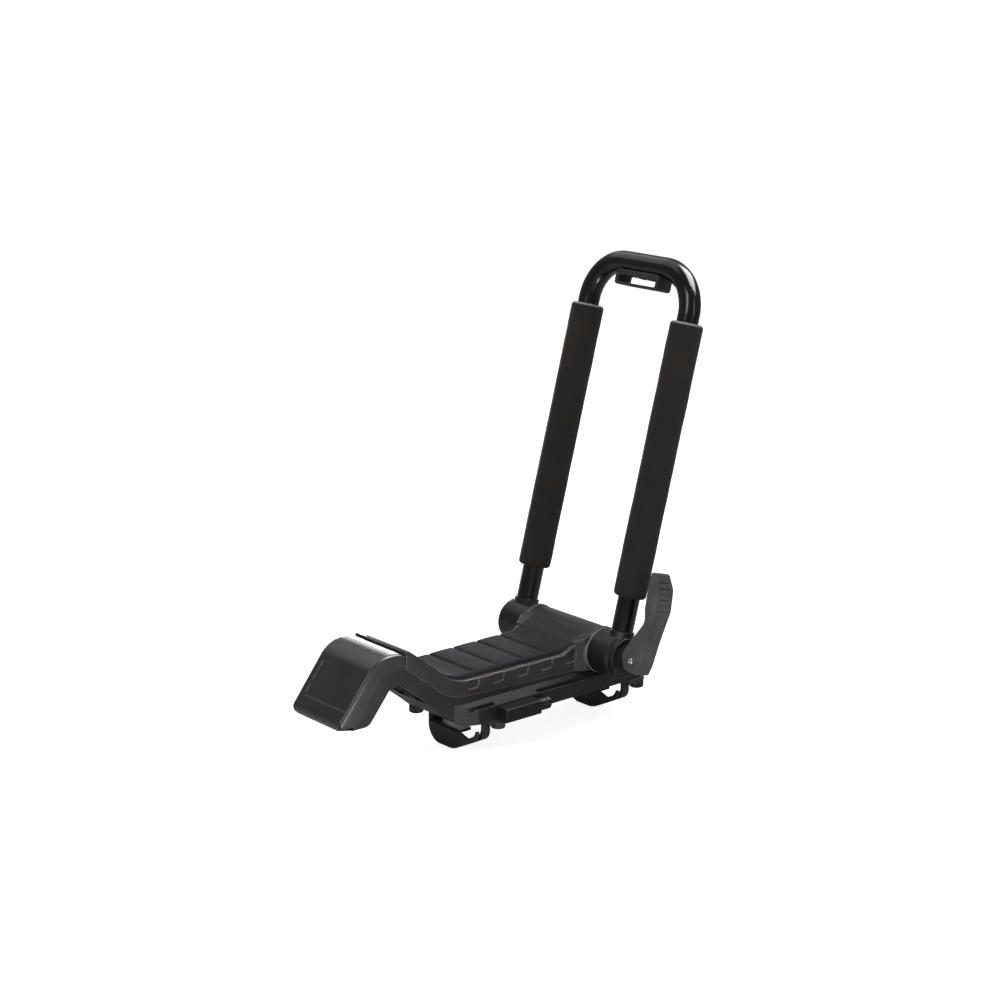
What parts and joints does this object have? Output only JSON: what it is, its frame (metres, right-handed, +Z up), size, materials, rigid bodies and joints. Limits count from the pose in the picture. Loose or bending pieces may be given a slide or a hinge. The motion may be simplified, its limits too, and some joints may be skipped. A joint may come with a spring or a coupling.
{
  "type": "j style kayak carrier",
  "caption": "Folding cradle that holds a kayak on its side on a roof bar: arched nose base with a ribbed pad, padded tube upright on a cam locked hinge, clamps below.",
  "frame": {"origin": "middle of the bar pad's underside, where the carrier sits on the roof bar", "axes": "+Z up, +X along the roof bar toward the upright, -Y toward the cam lever"},
  "size_m": [0.4924, 0.2392, 0.537],
  "materials": {
    "shell_plastic": "finely grained black moulding, satin",
    "hub_plastic": "black moulding, satin",
    "pad_rubber": "soft charcoal rubber, matte",
    "grip_rubber": "black rubber, matte",
    "sleeve_foam": "closed cell foam, matte",
    "tube_paint": "gloss black powder coat",
    "lever_plastic": "dark grey moulding, satin",
    "knob_plastic": "black fluted moulding",
    "lock_finish": "semi gloss black",
    "bright_steel": "zinc plated",
    "insert_brass": "plain brass"
  },
  "bodies": {
    "base": {"nose_cap": "shell_plastic", "deck_cover": "shell_plastic", "base_frame": "shell_plastic", "hull_pad": "pad_rubber", "bar_pad": "grip_rubber", "barrel_sleeve": "bright_steel", "friction_ring_near": "grip_rubber", "friction_ring_far": "grip_rubber", "thread_inserts": "insert_brass", "latch_housing": "shell_plastic"},
    "upright": {"u_tube": "tube_paint", "sleeve_near": "sleeve_foam", "sleeve_far": "sleeve_foam", "near_hub": "hub_plastic", "far_hub": "hub_plastic", "axle_rod": "bright_steel", "axle_nut": "bright_steel", "hub_cap": "shell_plastic", "cam_washer": "hub_plastic", "strap_guide": "shell_plastic"},
    "lever": {"cam_lever": "lever_plastic", "lever_pin": "bright_steel"},
    "lock": {"lock_barrel": "lock_finish"},
    "front_clamp": {"front_jaw": "shell_plastic", "front_jaw_liner": "grip_rubber"},
    "rear_clamp": {"rear_jaw": "shell_plastic", "rear_jaw_liner": "grip_rubber"},
    "front_near_bolt": {"front_near_knob": "knob_plastic", "front_near_screw": "bright_steel"},
    "front_far_bolt": {"front_far_knob": "knob_plastic", "front_far_screw": "bright_steel"},
    "rear_near_bolt": {"rear_near_knob": "knob_plastic", "rear_near_screw": "bright_steel"},
    "rear_far_bolt": {"rear_far_knob": "knob_plastic", "rear_far_screw": "bright_steel"}
  },
  "joints": [
    {"name": "upright_fold", "type": "hinge", "parent": "base", "child": "upright", "pos_m": [0.06, 0, 0.054], "axis": [0, -1, 0], "range_deg": [0, 104.76]},
    {"name": "lever_open", "type": "hinge", "parent": "upright", "child": "lever", "pos_m": [0.06, -0.1142, 0.054], "axis": [0.967, 0, -0.2548], "range_deg": [0, 90]},
    {"name": "lock_turn", "type": "hinge", "parent": "base", "child": "lock", "pos_m": [-0.048, -0.0665, 0.014], "axis": [1, 0, 0], "range_deg": [0, 90]},
    {"name": "front_clamp_slide", "type": "slide", "parent": "base", "child": "front_clamp", "axis": [0, 0, -1], "range_m": [0, 0.012]},
    {"name": "front_near_turn", "type": "hinge", "parent": "front_clamp", "child": "front_near_bolt", "pos_m": [-0.091, -0.049, 0.001], "axis": [0, 0, -1], "range_deg": [0, 1440.5]},
    {"name": "front_far_turn", "type": "hinge", "parent": "front_clamp", "child": "front_far_bolt", "pos_m": [-0.13, 0.049, 0.001], "axis": [0, 0, -1], "range_deg": [0, 1440.5]},
    {"name": "rear_clamp_slide", "type": "slide", "parent": "base", "child": "rear_clamp", "axis": [0, 0, -1], "range_m": [0, 0.012]},
    {"name": "rear_near_turn", "type": "hinge", "parent": "rear_clamp", "child": "rear_near_bolt", "pos_m": [0.125, -0.049, 0.001], "axis": [0, 0, -1], "range_deg": [0, 1440.5]},
    {"name": "rear_far_turn", "type": "hinge", "parent": "rear_clamp", "child": "rear_far_bolt", "pos_m": [0.086, 0.049, 0.001], "axis": [0, 0, -1], "range_deg": [0, 1440.5]}
  ],
  "couplings": [
    {"joint": "front_near_turn", "follows": "front_clamp_slide", "rad_per_m": 2094.4},
    {"joint": "front_far_turn", "follows": "front_clamp_slide", "rad_per_m": 2094.4},
    {"joint": "rear_near_turn", "follows": "rear_clamp_slide", "rad_per_m": 2094.4},
    {"joint": "rear_far_turn", "follows": "rear_clamp_slide", "rad_per_m": 2094.4}
  ]
}
